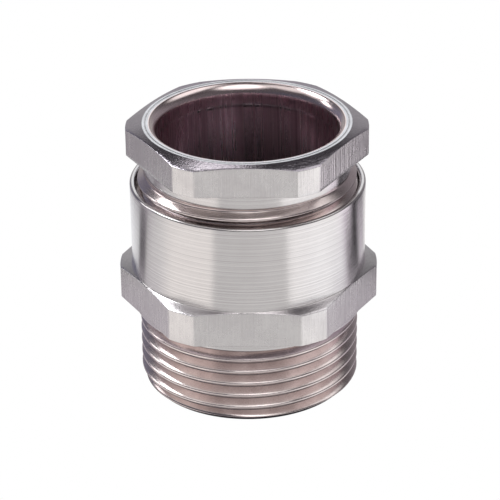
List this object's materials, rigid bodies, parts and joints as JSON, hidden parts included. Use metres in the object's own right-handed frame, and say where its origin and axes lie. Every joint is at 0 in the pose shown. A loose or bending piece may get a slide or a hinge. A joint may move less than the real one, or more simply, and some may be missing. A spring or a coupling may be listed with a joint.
{
  "type": "cable gland",
  "caption": "Metric brass cable gland with a hexagonal body, a hexagonal pressure screw on its own thread and a cut-out rubber sealing ring between two washers inside.",
  "frame": {"origin": "centre of the threaded end face, which is the lowest face of the part", "axes": "+Z along the gland's axis from the connection thread towards the cable entry; the hexagon corners lie on +X and -X and two wrench flats face +Y and -Y"},
  "size_m": [0.0292, 0.0268, 0.0314],
  "materials": {
    "nickel_plated_brass_body": "turned and nickel plated, bright with fine turning lines",
    "nickel_plated_brass_screw": "turned and nickel plated, bright, with drawn lines on the wrench flats",
    "zinc_plated_steel": "stamped, satin",
    "black_rubber": "matt moulded"
  },
  "bodies": {
    "body": {"gland_body": "nickel_plated_brass_body", "lower_pressure_washer": "zinc_plated_steel", "sealing_ring_outer": "black_rubber", "sealing_ring_middle": "black_rubber", "sealing_ring_inner": "black_rubber"},
    "washer": {"upper_pressure_washer": "zinc_plated_steel"},
    "screw": {"pressure_screw": "nickel_plated_brass_screw"}
  },
  "joints": [
    {"name": "washer_slide", "type": "slide", "parent": "body", "child": "washer", "axis": [0, 0, 1], "range_m": [-0.003, 0.0045], "deforming": ["sealing_ring_outer", "sealing_ring_middle", "sealing_ring_inner"]},
    {"name": "screw_turn", "type": "hinge", "parent": "washer", "child": "screw", "pos_m": [0, 0, 0.0295], "axis": [0, 0, 1], "range_deg": [-720, 1080]}
  ],
  "couplings": [
    {"joint": "screw_turn", "follows": "washer_slide", "rad_per_m": 4188.8}
  ]
}
